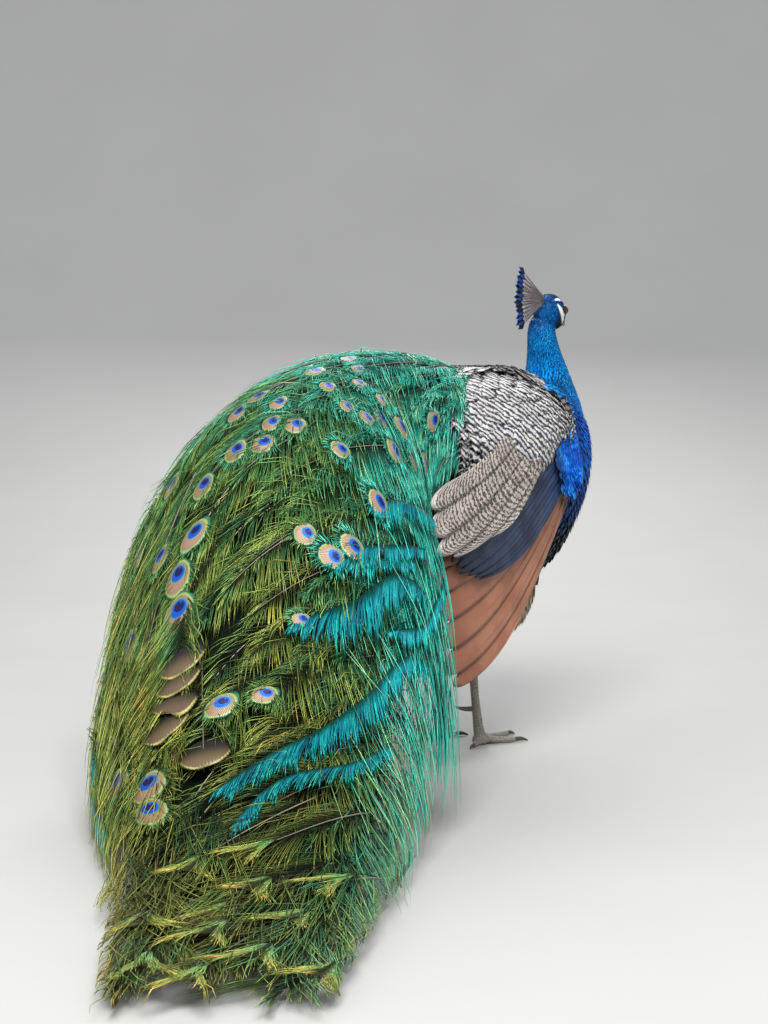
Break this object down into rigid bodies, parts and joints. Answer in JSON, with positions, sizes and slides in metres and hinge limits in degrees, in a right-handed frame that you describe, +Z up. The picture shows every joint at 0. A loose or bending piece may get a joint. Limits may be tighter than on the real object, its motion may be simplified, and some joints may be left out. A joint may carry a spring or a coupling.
{
  "type": "peacock",
  "caption": "Life-size still model of a standing peacock with fan crest, folded wings and a long eyed train laid on the floor behind it.",
  "frame": {"origin": "middle of the footprint's box, on the floor", "axes": "+X the way the bird faces, +Y its left, +Z up"},
  "size_m": [1.311, 0.6636, 0.5869],
  "materials": {
    "blue_plumage": "iridescent blue feathers",
    "breast": "dark blue to black feathers",
    "bill": "horn",
    "horn": "horn",
    "eye": "wet",
    "crest": "iridescent tips on bare shafts",
    "thigh": "buff feathers",
    "leg": "scaled skin",
    "barred": "cream feathers with dark bars",
    "dark_wing": "satin dark feathers",
    "rufous": "chestnut feathers",
    "train": "iridescent green feathers with eyespots",
    "tail": "brown feathers"
  },
  "bodies": {
    "root": {"trunk": "breast", "neck": "blue_plumage", "head": "blue_plumage", "bill_upper": "bill", "bill_lower": "bill", "crest": "crest", "tail": "tail", "eye_right": "eye", "shank_right": "leg", "foot_right": "leg", "spur_right": "horn", "thigh_right": "thigh", "claw_middle_right": "horn", "claw_inner_right": "horn", "claw_outer_right": "horn", "claw_hind_right": "horn", "primaries_right": "rufous", "secondaries_right": "dark_wing", "tertials_right": "barred", "coverts_right": "barred", "train_tier1_right": "train", "train_tier2_right": "train", "train_tier3_right": "train", "train_tier4_right": "train", "eye_left": "eye", "shank_left": "leg", "foot_left": "leg", "spur_left": "horn", "thigh_left": "thigh", "claw_middle_left": "horn", "claw_inner_left": "horn", "claw_outer_left": "horn", "claw_hind_left": "horn", "primaries_left": "rufous", "secondaries_left": "dark_wing", "tertials_left": "barred", "coverts_left": "barred", "train_tier1_left": "train", "train_tier2_left": "train", "train_tier3_left": "train", "train_tier4_left": "train", "train_tier5": "train", "train_tier6": "train"}
  },
  "joints": []
}
